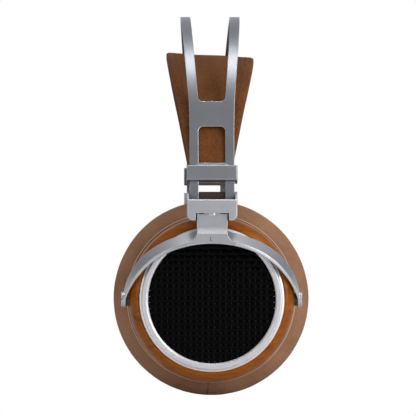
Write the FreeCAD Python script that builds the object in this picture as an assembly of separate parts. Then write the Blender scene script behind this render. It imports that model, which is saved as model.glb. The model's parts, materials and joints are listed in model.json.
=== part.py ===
"""Over ear headphones with turned wooden cups, in millimetres.

+X is the wearer's left, -Y the front, +Z up. The ear pads touch z = 0 and the ear axis is at CUP_Z.
Every piece of the left side is built once, and the right side is its mirror image in x = 0.
"""

import FreeCAD
import Part

import math
import os

from FreeCAD import Vector

# Driving dimensions: heights named *_H are above the ear axis.
PAD_R = 52.0              # outer radius of the ear pad
CUP_Z = PAD_R             # height of the ear axis above the floor
CUP_R = 44.0              # outer radius of the wooden cup
BAND_TOP_H = 152.8        # top of the headband
BAND_T = 1.4              # thickness of the spring steel blank
LEAN = 18.0               # degrees, lean of the headband's plates and upper legs
LEG_X = 84.9              # middle of the lower legs' thickness
BEND_H = 61.5             # height where the legs change from leaning to upright
PLATE_X = 91.2            # outer face of the yoke's plate
PIVOT_X = 70.0            # pivot axis of the cup, parallel to y
SWIVEL_X = 87.2           # swivel axis of the yoke, parallel to z

# Headband outline, seen from the side
LEG_IN = 7.1
LEG_OUT = 11.85
LEG_END_H = 44.0
WINDOW_TOP_H = 91.5
SLOT_BOTTOM_H = 104.9
ARM_IN_LOW = 7.1
ARM_OUT_LOW = 12.2
ARM_IN_TOP = 11.0
ARM_OUT_TOP = 16.2
CORNER_R = 2.6

# Yoke block
BLOCK_BACK_X = 83.0
BLOCK_FRONT_X = 91.0
BLOCK_HALF_W = 13.3
BLOCK_BOTTOM_H = 41.7
BLOCK_FRONT_TOP_H = 52.9
BLOCK_BACK_TOP_H = 56.9
BLOCK_WALL = 1.2
BLOCK_FLOOR = 2.0
BLOCK_CORNER_R = 3.2
BRIDGE_LOW_H = 49.0
BRIDGE_TOP_H = 50.9
PIN_R = 1.3               # swivel pin
RIVET_R = 1.4
RIVET_HEAD_R = 1.9
RIVET_H = 50.0

# Neck and plate of the yoke
NECK_HALF_W = 8.05
NECK_FRONT_X = 89.1
NECK_T = 2.4
NECK_TOP_H = 48.5
FACET_TOP_H = 38.1
STEP_H = 34.8
PLATE_LOW_H = 29.6
PLATE_T = 2.0
NOTCH_HALF_W = 8.8
NOTCH_TOP_H = 45.7

# Yoke arms
ARM_END_T = 1.25
ARM_HALF_W = 4.2
ARM_OUTER_R = 46.9
PIVOT_HOLE_R = 1.56
PIVOT_SHANK_R = 1.5
PIVOT_HEAD_R = 4.0
WASHER_R = 3.6
WASHER_OUT = 45.6         # outer face of the pivot washer, from the ear axis

# Cup, from the outside inwards along x
WOOD_FRONT_X = 79.5
WOOD_BACK_X = 55.0
WOOD_EDGE_DEPTH = 9.0
WOOD_FACE_R = 38.3
WOOD_BORE_R = 39.0
WOOD_FRONT_BORE_R = 35.0
WOOD_FRONT_T = 5.0
BEZEL_R = 38.25
BEZEL_FRONT_X = 81.5
GRILLE_R = 33.7
GRILLE_X = 78.0           # back of the grille, where it rests on the bezel's lip
GRILLE_T = 1.2
BAFFLE_T = 3.0

# Ear pad, from the baffle inwards
PAD_IN_R = 28.0
PAD_T = 22.0
PAD_BACK_X = WOOD_BACK_X - BAFFLE_T
PAD_FACE_X = PAD_BACK_X - PAD_T
PAD_POCKET = 2.0
PAD_RING_T = 1.4

# Cable socket under the cup: depths below the ear axis
JACK_X = 64.0
JACK_BORE_R = 1.775
JACK_BORE_LENGTH = 14.0
JACK_BARREL_R = 3.9
JACK_MOUTH = 43.7
JACK_SEAT_OUT = 41.4
JACK_SEAT_IN = 39.4
JACK_BODY_LENGTH = 11.0

# Strap and its clip, measured along and across the leaning legs
STRAP_T = 2.3
STRAP_LOW_HALF_W = 11.2   # at STRAP_LOW_H
STRAP_TOP_HALF_W = 24.6   # at STRAP_TOP_H
STRAP_LOW_H = 70.0
STRAP_TOP_H = 136.0
LINING_T = 1.2
LINING_INSET = 2.0
CLIP_LOW = 1.05
CLIP_TOP = 9.35
CLIP_BACK_TOP = 11.0
CLIP_HALF_W = 13.4
CLIP_GAP = 0.1
CLIP_T = 1.5
CLIP_FACE = BAND_T / 2 + CLIP_GAP          # inner face of the front plate
CLIP_FRONT = CLIP_FACE + CLIP_T
STRAP_BACK = -(CLIP_FACE + STRAP_T)        # inner face of the back plate
CLIP_BACK = STRAP_BACK - CLIP_T
FLANGE_IN = LEG_OUT + 0.15
CLIP_CROWN = 1.2          # how far the middle of the front plate rises above its ends
CLIP_CROWN_HALF_W = 6.6
CLIP_CROWN_SHOULDER = 2.0
CLIP_SCREW_R = 0.9
CLIP_SCREW_Y = 4.0

SIN_LEAN = math.sin(math.radians(LEAN))
COS_LEAN = math.cos(math.radians(LEAN))
X_AXIS = Vector(1, 0, 0)
Y_AXIS = Vector(0, 1, 0)
CUP_CENTRE = Vector(0, 0, CUP_Z)
FAR = 200.0               # longer than any piece, for through cuts


# Helpers

def point(x, y, height):
    """A point given by its height above the ear axis."""
    return Vector(x, y, CUP_Z + height)


def block(x0, x1, y0, y1, h0, h1):
    """A box between two corners."""
    return Part.makeBox(x1 - x0, y1 - y0, h1 - h0, point(x0, y0, h0))


def rod(radius, start, end):
    """A solid cylinder from start to end."""
    axis = end - start
    return Part.makeCylinder(radius, axis.Length, start, axis)


def tube(outer_r, inner_r, start, end):
    """A hollow cylinder from start to end."""
    return rod(outer_r, start, end).cut(rod(inner_r, start, end))


def cup_disc(radius, x0, x1):
    """A disc about the cup's own axis."""
    return rod(radius, point(x0, 0, 0), point(x1, 0, 0))


def cup_ring(outer_r, inner_r, x0, x1):
    """A ring about the cup's own axis."""
    return tube(outer_r, inner_r, point(x0, 0, 0), point(x1, 0, 0))


def polygon_face(points):
    """A flat face with straight edges."""
    return Part.Face(Part.makePolygon(points + [points[0]]))


def side_prism(points, y0, y1):
    """A prism along y from an outline of (x, height) points."""
    face = polygon_face([point(x, y0, h) for x, h in points])
    return face.extrude(Vector(0, y1 - y0, 0))


def front_prism(points, x0, x1):
    """A prism along x from an outline of (y, height) points."""
    face = polygon_face([point(x0, y, h) for y, h in points])
    return face.extrude(Vector(x1 - x0, 0, 0))


def rounded_edges(shape, radius, chosen):
    """Round the edges for which chosen(edge) is true."""
    edges = [edge for edge in shape.Edges if chosen(edge)]
    return shape.makeFillet(radius, edges)


def chamfered_edges(shape, size, chosen):
    """Chamfer the edges for which chosen(edge) is true."""
    edges = [edge for edge in shape.Edges if chosen(edge)]
    return shape.makeChamfer(size, edges)


def runs_along(edge, axis):
    """True for a straight edge that is parallel to axis."""
    if edge.Curve.TypeId != "Part::GeomLine":
        return False
    direction = edge.tangentAt(edge.FirstParameter)
    return abs(direction.dot(axis)) > 0.999


def leg_point(along, across, y=0.0):
    """A point in the leaning legs' own directions, from the bend at the middle of the thickness."""
    x = LEG_X - along * SIN_LEAN + across * COS_LEAN
    return point(x, y, BEND_H + along * COS_LEAN + across * SIN_LEAN)


def leg_block(along0, along1, across0, across1, half_w, inner_half_w=0.0):
    """A box that leans with the legs, or a pair of boxes beside a gap in the middle."""
    corners = [(along0, across0), (along0, across1), (along1, across1), (along1, across0)]
    face = polygon_face([leg_point(along, across, -half_w) for along, across in corners])
    solid = face.extrude(Vector(0, 2 * half_w, 0))
    if inner_half_w:
        gap = polygon_face([leg_point(a, b, -inner_half_w) for a, b in corners])
        solid = solid.cut(gap.extrude(Vector(0, 2 * inner_half_w, 0)))
    return solid


# Headband and strap

def arch_radius():
    """Radius of the arch's middle line, so that it meets the leaning plates smoothly."""
    top = BAND_TOP_H - BAND_T / 2
    return (BEND_H - top + LEG_X * COS_LEAN / SIN_LEAN) / (1 / SIN_LEAN - 1)


def band_edge(offset, sign):
    """Points of the blank's surface at offset from its middle line, from leg end to arch."""
    radius = arch_radius()
    centre_h = BAND_TOP_H - BAND_T / 2 - radius
    bend_shift = offset * math.tan(math.radians(LEAN / 2))
    return [
        point(sign * (LEG_X + offset), 0, LEG_END_H),
        point(sign * (LEG_X + offset), 0, BEND_H + bend_shift),
        point(sign * (radius + offset) * COS_LEAN, 0, centre_h + (radius + offset) * SIN_LEAN),
        point(0, 0, centre_h + radius + offset),
    ]


def band_sheet(half_w):
    """The bent blank before its outline is cut, as wide as 2 half_w."""
    edges = []
    outer_left, outer_right = band_edge(BAND_T / 2, 1), band_edge(BAND_T / 2, -1)
    inner_left, inner_right = band_edge(-BAND_T / 2, 1), band_edge(-BAND_T / 2, -1)
    for left, right in ((outer_left, outer_right), (inner_left, inner_right)):
        for side in (left, right):
            edges.append(Part.makeLine(side[0], side[1]))
            edges.append(Part.makeLine(side[1], side[2]))
        edges.append(Part.Arc(left[2], left[3], right[2]).toShape())
    edges.append(Part.makeLine(outer_left[0], inner_left[0]))
    edges.append(Part.makeLine(outer_right[0], inner_right[0]))
    wire = Part.Wire(Part.__sortEdges__(edges))
    sheet = Part.Face(wire).extrude(Vector(0, 2 * half_w, 0))
    return sheet.translated(Vector(0, -half_w, 0))


def make_headband_frame():
    """One blank: two arms over the head, a plate, a window and two legs on each side."""
    outline = [
        (-LEG_OUT, LEG_END_H - 1), (-LEG_OUT, WINDOW_TOP_H), (-ARM_OUT_LOW, SLOT_BOTTOM_H),
        (-ARM_OUT_TOP, BAND_TOP_H + 1), (ARM_OUT_TOP, BAND_TOP_H + 1),
        (ARM_OUT_LOW, SLOT_BOTTOM_H), (LEG_OUT, WINDOW_TOP_H), (LEG_OUT, LEG_END_H - 1),
    ]
    blank = band_sheet(20).common(front_prism(outline, -FAR, FAR))
    slot_outline = [
        (-ARM_IN_LOW, SLOT_BOTTOM_H), (-ARM_IN_TOP, BAND_TOP_H + 2),
        (ARM_IN_TOP, BAND_TOP_H + 2), (ARM_IN_LOW, SLOT_BOTTOM_H),
    ]
    slot = front_prism(slot_outline, -FAR, FAR)
    slot_floor = CUP_Z + SLOT_BOTTOM_H
    slot = rounded_edges(slot, CORNER_R, lambda e: runs_along(e, X_AXIS)
                         and abs(e.CenterOfMass.z - slot_floor) < 0.1)
    window = block(-FAR, FAR, -LEG_IN, LEG_IN, LEG_END_H - 2, WINDOW_TOP_H)
    window_top = CUP_Z + WINDOW_TOP_H
    window = rounded_edges(window, CORNER_R, lambda e: runs_along(e, X_AXIS)
                           and abs(e.CenterOfMass.z - window_top) < 0.1)
    frame = blank.cut(slot).cut(window)
    for side in (-1, 1):
        for y in rivet_places():
            hole = rod(RIVET_R, point(side * 80, y, RIVET_H), point(side * 90, y, RIVET_H))
            frame = frame.cut(hole)
    return frame


def strap_curve(offset):
    """The strap's arch from clip to clip, moved outwards by offset."""
    start = leg_point(CLIP_BACK_TOP + 0.2, strap_across())
    half = [
        (start.x, start.z - CUP_Z), (74.3, 86.0), (66.0, 102.5), (50.0, 118.5), (26.0, 130.0),
    ]
    line = half + [(0.0, 133.0)] + [(-x, h) for x, h in reversed(half)]
    middle = Part.BSplineCurve()
    middle.interpolate([point(x, 0, h) for x, h in line])
    first, last = middle.FirstParameter, middle.LastParameter
    count = 20
    moved = []
    for i in range(count + 1):
        at = first + (last - first) * i / count
        tangent = middle.tangent(at)[0]
        normal = Vector(tangent.z, 0, -tangent.x)
        moved.append(middle.value(at) - normal * offset)
    curve = Part.BSplineCurve()
    curve.interpolate(moved)
    return curve


def strap_across():
    """Middle of the strap's thickness where it lies against the legs."""
    return -(BAND_T / 2 + CLIP_GAP + STRAP_T / 2)


def arch_strip(outer, inner, inset):
    """A curved strip between two offsets of the strap's arch, narrower by inset at each edge."""
    top, bottom = strap_curve(outer), strap_curve(inner)
    ends = [
        Part.makeLine(top.StartPoint, bottom.StartPoint),
        Part.makeLine(top.EndPoint, bottom.EndPoint),
    ]
    wire = Part.Wire(Part.__sortEdges__([top.toShape(), bottom.toShape()] + ends))
    sheet = Part.Face(wire).extrude(Vector(0, 60, 0)).translated(Vector(0, -30, 0))
    low_w, top_w = STRAP_LOW_HALF_W - inset, STRAP_TOP_HALF_W - inset
    outline = [(-low_w, STRAP_LOW_H), (-top_w, STRAP_TOP_H), (top_w, STRAP_TOP_H), (low_w, STRAP_LOW_H)]
    return sheet.common(front_prism(outline, -FAR, FAR))


def make_head_strap():
    return arch_strip(STRAP_T / 2, -STRAP_T / 2, 0.0)


def make_strap_lining():
    strip = arch_strip(-STRAP_T / 2, -STRAP_T / 2 - LINING_T, LINING_INSET)
    return strip.common(block(-62, 62, -30, 30, 90, 140))


# Strap clip

def clip_screw_places():
    return (-CLIP_SCREW_Y, CLIP_SCREW_Y)


def clip_screw_along():
    return (CLIP_LOW + CLIP_TOP) / 2


def clip_screw_rod(radius, across0, across1):
    """A rod at each clip screw, across the legs."""
    along = clip_screw_along()
    rods = [rod(radius, leg_point(along, across0, y), leg_point(along, across1, y))
            for y in clip_screw_places()]
    return Part.makeCompound(rods)


def make_slider_front():
    plate = leg_block(CLIP_LOW, CLIP_TOP, CLIP_FACE, CLIP_FRONT, CLIP_HALF_W)
    plate = chamfered_edges(plate, 0.4, on_clip_front)
    plate = plate.fuse(clip_crown())
    flanges = leg_block(CLIP_LOW, CLIP_TOP, STRAP_BACK, CLIP_FACE, CLIP_HALF_W, FLANGE_IN)
    boss = leg_block(CLIP_LOW, CLIP_TOP + 0.9, -CLIP_FACE + 0.05, CLIP_FACE, LEG_IN - 0.4)
    front = plate.fuse(flanges).fuse(boss).removeSplitter()
    for side in (-1, 1):
        front = front.cut(spring_pocket(side))
    return front.cut(clip_screw_rod(CLIP_SCREW_R, -CLIP_FACE, CLIP_FACE + 0.9))


def clip_crown():
    """The raised middle of the clip's front plate, with slanted shoulders."""
    low_w = CLIP_CROWN_HALF_W + CLIP_CROWN_SHOULDER
    low, top = CLIP_TOP - 1.0, CLIP_TOP + CLIP_CROWN
    outline = [(low, -low_w), (CLIP_TOP, -low_w), (top, -CLIP_CROWN_HALF_W),
               (top, CLIP_CROWN_HALF_W), (CLIP_TOP, low_w), (low, low_w)]
    face = polygon_face([leg_point(along, CLIP_FACE, y) for along, y in outline])
    return face.extrude(Vector(COS_LEAN, 0, SIN_LEAN) * (CLIP_T - 0.4))


def on_clip_front(edge):
    """True for an edge that lies in the clip's front face."""
    along = edge.CenterOfMass - leg_point(0, CLIP_FRONT)
    return abs(along.dot(Vector(COS_LEAN, 0, SIN_LEAN))) < 0.01


def spring_pocket(side):
    """The pocket in the front plate over one leg."""
    pocket = leg_block(3.0, 7.4, CLIP_FACE, CLIP_FACE + 0.5, 11.4, 7.6)
    return pocket.common(block(0, FAR, min(0, side * 20), max(0, side * 20), 50, 90))


def make_slider_back():
    plate = leg_block(CLIP_LOW, CLIP_BACK_TOP, CLIP_BACK, STRAP_BACK, CLIP_HALF_W)
    return plate.cut(clip_screw_rod(CLIP_SCREW_R + 0.05, CLIP_BACK, STRAP_BACK))


def make_slider_screws():
    screws = []
    along = clip_screw_along()
    for y in clip_screw_places():
        tip = leg_point(along, CLIP_FACE + 0.8, y)
        shank = rod(CLIP_SCREW_R, leg_point(along, CLIP_BACK, y), tip)
        head = rod(1.7, leg_point(along, CLIP_BACK - 0.8, y), leg_point(along, CLIP_BACK, y))
        drive = rod(0.7, leg_point(along, CLIP_BACK - 0.8, y), leg_point(along, CLIP_BACK - 0.3, y))
        screws.append(shank.fuse(head).cut(drive).removeSplitter())
    return Part.makeCompound(screws)


def make_slider_spring():
    """Two small leaves, one on each leg."""
    leaves = []
    for side in (-1, 1):
        leaf = leg_block(3.3, 7.1, CLIP_FACE + 0.1, CLIP_FACE + 0.4, 11.0, 8.0)
        leaves.append(leaf.common(block(0, FAR, min(0, side * 20), max(0, side * 20), 50, 90)))
    return Part.makeCompound([leaf.Solids[0] for leaf in leaves])


def make_strap_end():
    end = leg_block(CLIP_LOW + 0.4, CLIP_BACK_TOP, STRAP_BACK + 0.02, -CLIP_FACE, LEG_OUT - 0.2)
    return end.cut(clip_screw_rod(CLIP_SCREW_R + 0.05, STRAP_BACK, -CLIP_FACE))


# Yoke block

def rivet_places():
    return (-(LEG_IN + LEG_OUT) / 2, (LEG_IN + LEG_OUT) / 2)


def make_yoke_block():
    """A hollow metal block, open at the top, with a notch for the yoke's neck."""
    chamfer = 1.5
    profile = [
        (BLOCK_BACK_X + chamfer, BLOCK_BOTTOM_H), (BLOCK_FRONT_X, BLOCK_BOTTOM_H),
        (BLOCK_FRONT_X, BLOCK_FRONT_TOP_H), (BLOCK_FRONT_X - BLOCK_WALL, BLOCK_FRONT_TOP_H),
        (BLOCK_BACK_X + BLOCK_WALL, BLOCK_BACK_TOP_H), (BLOCK_BACK_X, BLOCK_BACK_TOP_H),
        (BLOCK_BACK_X, BLOCK_BOTTOM_H + chamfer),
    ]
    body = side_prism(profile, -BLOCK_HALF_W, BLOCK_HALF_W)
    frame = block(80, 95, -BLOCK_HALF_W, BLOCK_HALF_W, BLOCK_BOTTOM_H, 60)
    low_z = CUP_Z + BLOCK_BOTTOM_H
    frame = rounded_edges(frame, BLOCK_CORNER_R, lambda e: runs_along(e, X_AXIS)
                          and abs(e.CenterOfMass.z - low_z) < 0.1)
    body = body.common(frame)
    front = BLOCK_FRONT_X
    body = chamfered_edges(body, 0.5, lambda e: abs(e.CenterOfMass.x - front) < 0.01
                           and abs(e.BoundBox.XLength) < 0.01)
    cavity = block(BLOCK_BACK_X + BLOCK_WALL, BLOCK_FRONT_X - BLOCK_WALL,
                   -BLOCK_HALF_W + BLOCK_WALL, BLOCK_HALF_W - BLOCK_WALL,
                   BLOCK_BOTTOM_H + BLOCK_FLOOR, 60)
    notch = block(SWIVEL_X - 2.8, 95, -NOTCH_HALF_W, NOTCH_HALF_W, 40, NOTCH_TOP_H)
    bridge = block(BLOCK_BACK_X + BLOCK_WALL, BLOCK_FRONT_X - BLOCK_WALL, -6.8, 6.8,
                   BRIDGE_LOW_H, BRIDGE_TOP_H)
    solid = body.cut(cavity).cut(notch).fuse(bridge).removeSplitter()
    solid = solid.cut(rod(PIN_R + 0.05, point(SWIVEL_X, 0, 48), point(SWIVEL_X, 0, 52)))
    for y in rivet_places():
        solid = solid.cut(rod(RIVET_R, point(80, y, RIVET_H), point(86, y, RIVET_H)))
    return solid


def make_leg_rivets():
    rivets = []
    leg_face = LEG_X + BAND_T / 2
    for y in rivet_places():
        shank = rod(RIVET_R, point(BLOCK_BACK_X, y, RIVET_H), point(leg_face, y, RIVET_H))
        outer_x = BLOCK_BACK_X - 0.8
        outside = rod(RIVET_HEAD_R, point(outer_x, y, RIVET_H), point(BLOCK_BACK_X, y, RIVET_H))
        inside = rod(RIVET_HEAD_R, point(leg_face, y, RIVET_H), point(leg_face + 0.7, y, RIVET_H))
        rivets.append(shank.fuse(outside).fuse(inside).removeSplitter())
    return Part.makeCompound(rivets)


def make_swivel_pin():
    """Pressed into the yoke's neck, and free to turn in the block's bridge."""
    shank = rod(PIN_R, point(SWIVEL_X, 0, 45.0), point(SWIVEL_X, 0, BRIDGE_TOP_H + 0.1))
    head = rod(2.3, point(SWIVEL_X, 0, BRIDGE_TOP_H + 0.1), point(SWIVEL_X, 0, BRIDGE_TOP_H + 0.9))
    return shank.fuse(head).removeSplitter()


def make_swivel_washer():
    low, high = point(SWIVEL_X, 0, NECK_TOP_H + 0.05), point(SWIVEL_X, 0, NECK_TOP_H + 0.4)
    return tube(2.3, PIN_R + 0.05, low, high)


# Yoke

def arm_section(angle):
    """Outline of the twisted arm at an angle from straight up, about the ear axis."""
    turn = math.radians(angle)
    cosine = max(math.cos(turn), 0.0)
    low_r = ARM_OUTER_R - 16.1 * cosine
    high_r = ARM_OUTER_R - 11.2 * cosine ** 1.7 + 1.9 * math.exp(-(angle / 16.0) ** 2)
    rise = (high_r - low_r) / 2
    reach = math.sqrt(ARM_HALF_W ** 2 - rise ** 2)
    near_x = PLATE_X - 2.7
    middle_x = near_x - (near_x - PIVOT_X) * (angle / 90.0) ** 3.2
    middle_r = (low_r + high_r) / 2
    thick = ARM_END_T + 0.55 * cosine
    along = (reach / ARM_HALF_W, -rise / ARM_HALF_W)      # from the back edge to the front edge
    inward = (-rise / ARM_HALF_W, -reach / ARM_HALF_W)    # into the thickness
    bevel = 0.6 * thick

    def corner(forward, depth):
        x = middle_x + along[0] * forward + inward[0] * depth
        r = middle_r + along[1] * forward + inward[1] * depth
        return Vector(x, r * math.sin(turn), CUP_Z + r * math.cos(turn))

    return [
        corner(-ARM_HALF_W, 0), corner(ARM_HALF_W - bevel, 0), corner(ARM_HALF_W, bevel),
        corner(ARM_HALF_W, thick), corner(-ARM_HALF_W, thick),
    ]


def make_arm():
    """One twisted arm on the +Y side, from the neck to its pivot."""
    angles = (10, 18, 26, 34, 42, 50, 58, 66, 74, 82, 90)
    wires = []
    for angle in angles:
        corners = arm_section(angle)
        wires.append(Part.makePolygon(corners + [corners[0]]))
    arm = Part.makeLoft(wires, True, False)
    tab = rod(ARM_HALF_W, point(PIVOT_X, ARM_OUTER_R - ARM_END_T, 0), point(PIVOT_X, ARM_OUTER_R, 0))
    return arm.fuse(tab)


def make_yoke():
    """Neck, plate with a hollow lower edge, and two arms with a hole and a flat seat in each end."""
    inner_x = PLATE_X - PLATE_T
    profile = [
        (PLATE_X, 31.5), (PLATE_X, STEP_H), (NECK_FRONT_X, FACET_TOP_H),
        (NECK_FRONT_X, NECK_TOP_H), (NECK_FRONT_X - NECK_T, NECK_TOP_H),
        (NECK_FRONT_X - NECK_T, FACET_TOP_H - 0.6), (inner_x, STEP_H - 0.6), (inner_x, 31.5),
    ]
    neck = side_prism(profile, -NECK_HALF_W, NECK_HALF_W)
    slim = block(80, 95, -12, 12, NOTCH_TOP_H - 0.4, 60).cut(block(80, 95, -4.2, 4.2, 40, 60))
    neck = neck.cut(slim)
    boss = rod(2.4, point(SWIVEL_X, 0, 44.6), point(SWIVEL_X, 0, NECK_TOP_H))
    shape = neck.fuse(boss).fuse(make_plate(inner_x))
    arm = make_arm()
    shape = shape.fuse(arm).fuse(arm.mirror(CUP_CENTRE, Y_AXIS))
    shape = shape.cut(rod(PIN_R, point(SWIVEL_X, 0, 45.0), point(SWIVEL_X, 0, 60)))
    shape = shape.cut(rod(PIVOT_HOLE_R, point(PIVOT_X, -60, 0), point(PIVOT_X, 60, 0)))
    seat_y = ARM_OUTER_R - ARM_END_T
    shape = shape.cut(rod(WASHER_R + 0.2, point(PIVOT_X, -seat_y, 0), point(PIVOT_X, seat_y, 0)))
    return shape.removeSplitter()


def make_plate(inner_x):
    """The upright plate: an arc below, and a hollow corner between each arm and the neck."""
    foot_y, foot_h = 12.6, 28.4
    flare_r = 3.6
    y0, h0 = NECK_HALF_W, STEP_H + 0.2
    edges = [
        Part.Arc(point(inner_x, -foot_y, foot_h), point(inner_x, 0, PLATE_LOW_H),
                 point(inner_x, foot_y, foot_h)).toShape(),
        Part.makeLine(point(inner_x, -y0, h0), point(inner_x, y0, h0)),
    ]
    for side in (-1, 1):
        shoulder = point(inner_x, side * (foot_y + 0.8), foot_h + 2.2)
        middle = point(inner_x, side * (y0 + flare_r * 0.42), h0 - flare_r * 0.86)
        edges.append(Part.makeLine(point(inner_x, side * foot_y, foot_h), shoulder))
        edges.append(Part.Arc(shoulder, middle, point(inner_x, side * y0, h0)).toShape())
    wire = Part.Wire(Part.__sortEdges__(edges))
    return Part.Face(wire).extrude(Vector(PLATE_T, 0, 0))


def both_pivots(make_one):
    """The same piece at the front and the rear pivot, as separate solids."""
    piece = make_one()
    return Part.makeCompound([piece, piece.mirror(CUP_CENTRE, Y_AXIS)])


def make_pivot_screws():
    def one():
        shank = rod(PIVOT_SHANK_R, point(PIVOT_X, 39.6, 0), point(PIVOT_X, ARM_OUTER_R + 0.05, 0))
        head = rod(PIVOT_HEAD_R, point(PIVOT_X, ARM_OUTER_R + 0.05, 0), point(PIVOT_X, 47.95, 0))
        rim = CUP_CENTRE.y + 47.95
        head = chamfered_edges(head, 0.25, lambda e: abs(e.CenterOfMass.y - rim) < 0.01)
        drive = block(PIVOT_X - 4, PIVOT_X + 4, 47.45, 48.5, -0.5, 0.5)
        return shank.fuse(head).cut(drive).removeSplitter()
    return both_pivots(one)


def make_pivot_washers():
    def one():
        inner, outer = point(PIVOT_X, CUP_R + 0.05, 0), point(PIVOT_X, WASHER_OUT, 0)
        return tube(WASHER_R, PIVOT_HOLE_R, inner, outer)
    return both_pivots(one)


def make_pivot_inserts():
    def one():
        return tube(3.0, PIVOT_SHANK_R + 0.01, point(PIVOT_X, 39.4, 0), point(PIVOT_X, 43.8, 0))
    return both_pivots(one)


# Cup

def rounded_rim(centre_x, centre_r, reach_x, reach_r):
    """A quarter ellipse in the plane y = 0, from the flat face to the side of a turned piece."""
    count = 8
    places = []
    for i in range(count + 1):
        turn = math.pi / 2 * i / count
        places.append(point(centre_x + reach_x * math.cos(turn), 0,
                            centre_r + reach_r * math.sin(turn)))
    curve = Part.BSplineCurve()
    curve.interpolate(Points=places, InitialTangent=Vector(0, 0, 1),
                      FinalTangent=Vector(-math.copysign(1, reach_x), 0, 0))
    return curve.toShape()


def turned(edges, outline):
    """A solid of revolution about the cup's axis: curved edges, then a chain of (x, r) points."""
    chain = [point(x, 0, r) for x, r in outline]
    lines = [Part.makeLine(a, b) for a, b in zip(chain, chain[1:])]
    wire = Part.Wire(Part.__sortEdges__(edges + lines))
    return Part.Face(wire).revolve(CUP_CENTRE, X_AXIS, 360)


def make_ear_cup():
    """Turned wood with an elliptical outer edge, bored for the driver and the fittings."""
    edge_x = WOOD_FRONT_X - WOOD_EDGE_DEPTH
    back_round = 1.5
    rim = rounded_rim(edge_x, WOOD_FACE_R, WOOD_EDGE_DEPTH, CUP_R - WOOD_FACE_R)
    back = rounded_rim(WOOD_BACK_X + back_round, CUP_R - back_round, -back_round, back_round)
    inner_x = WOOD_FRONT_X - WOOD_FRONT_T
    side = Part.makeLine(point(edge_x, 0, CUP_R), point(WOOD_BACK_X + back_round, 0, CUP_R))
    wood = turned([rim, side, back], [
        (WOOD_BACK_X, CUP_R - back_round), (WOOD_BACK_X, WOOD_BORE_R), (inner_x, WOOD_BORE_R),
        (inner_x, WOOD_FRONT_BORE_R), (WOOD_FRONT_X, WOOD_FRONT_BORE_R), (WOOD_FRONT_X, WOOD_FACE_R),
    ])
    for y in (-1, 1):
        wood = wood.cut(rod(3.0, point(PIVOT_X, y * 38, 0), point(PIVOT_X, y * 46, 0)))
    for spot in baffle_screw_places():
        wood = wood.cut(rod(0.9, spot, spot + Vector(8.0, 0, 0)))
    wood = wood.cut(rod(JACK_BARREL_R + 0.05, point(JACK_X, 0, -46), point(JACK_X, 0, -36)))
    wood = wood.cut(rod(6.0, point(JACK_X, 0, -46), point(JACK_X, 0, -JACK_SEAT_OUT)))
    return wood.cut(rod(5.9, point(JACK_X, 0, -JACK_SEAT_IN), point(JACK_X, 0, -30)))


def make_bezel_ring():
    """A stepped metal ring: a spigot in the wood, a flange on its face and a slope to the grille."""
    back_x = WOOD_FRONT_X - WOOD_FRONT_T + 0.5
    return turned([], [
        (back_x, 32.6), (back_x, 34.95), (WOOD_FRONT_X, 34.95), (WOOD_FRONT_X, BEZEL_R),
        (WOOD_FRONT_X + 0.7, BEZEL_R), (WOOD_FRONT_X + 1.0, BEZEL_R - 1.0),
        (BEZEL_FRONT_X - 0.3, BEZEL_R - 1.3), (BEZEL_FRONT_X, BEZEL_R - 1.7),
        (BEZEL_FRONT_X, BEZEL_R - 3.6), (BEZEL_FRONT_X - 0.7, GRILLE_R + 0.05),
        (GRILLE_X, GRILLE_R + 0.05), (GRILLE_X, 32.6), (back_x, 32.6),
    ])


def make_grille():
    """A plain disc with the thickness of the woven grille."""
    return cup_disc(GRILLE_R, GRILLE_X, GRILLE_X + GRILLE_T)


def make_grille_cloth():
    return cup_disc(32.5, GRILLE_X - 0.5, GRILLE_X - 0.02)


def baffle_screw_places():
    """Four points on the baffle's outer face, in the middle of the wooden wall."""
    radius = 41.2
    back_x = WOOD_BACK_X
    return [point(back_x, radius * math.sin(turn), radius * math.cos(turn))
            for turn in (math.radians(45 + 90 * i) for i in range(4))]


def make_baffle():
    """The plate that closes the cup, with a spigot, a driver opening and four screw holes."""
    outer_x = WOOD_BACK_X - BAFFLE_T
    plate = cup_ring(43.4, 20.0, outer_x, WOOD_BACK_X)
    plate = plate.fuse(cup_ring(38.9, 35.5, WOOD_BACK_X, WOOD_BACK_X + 2.5)).removeSplitter()
    for spot in baffle_screw_places():
        plate = plate.cut(rod(1.05, spot - Vector(4, 0, 0), spot + Vector(1, 0, 0)))
        plate = plate.cut(rod(2.1, spot - Vector(4, 0, 0), spot - Vector(1.5, 0, 0)))
    vents = []
    for i in range(8):
        turn = math.radians(22.5 + 45 * i)
        y, h = 30.0 * math.sin(turn), 30.0 * math.cos(turn)
        vents.append(rod(2.4, point(outer_x - 1, y, h), point(WOOD_BACK_X + 1, y, h)))
    return plate.cut(Part.makeCompound(vents))


def make_baffle_screws():
    screws = []
    for spot in baffle_screw_places():
        shank = rod(0.9, spot - Vector(1.5, 0, 0), spot + Vector(7.0, 0, 0))
        head = rod(1.9, spot - Vector(2.7, 0, 0), spot - Vector(1.5, 0, 0))
        drive = rod(0.8, spot - Vector(2.7, 0, 0), spot - Vector(2.0, 0, 0))
        screws.append(shank.fuse(head).cut(drive).removeSplitter())
    return Part.makeCompound(screws)


def make_driver_frame():
    """The basket: a flange glued to the baffle, a wall and a back plate with vents."""
    x0 = WOOD_BACK_X
    frame = turned([], [
        (x0, 19.6), (x0, 25.0), (x0 + 1.4, 25.0), (x0 + 1.4, 21.0), (x0 + 8.5, 21.0),
        (x0 + 8.5, 6.05), (x0 + 7.0, 6.05), (x0 + 7.0, 19.6), (x0, 19.6),
    ])
    for i in range(6):
        turn = math.radians(60 * i)
        y, h = 16.0 * math.sin(turn), 16.0 * math.cos(turn)
        frame = frame.cut(rod(2.2, point(x0 + 6, y, h), point(x0 + 10, y, h)))
    return frame


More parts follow.
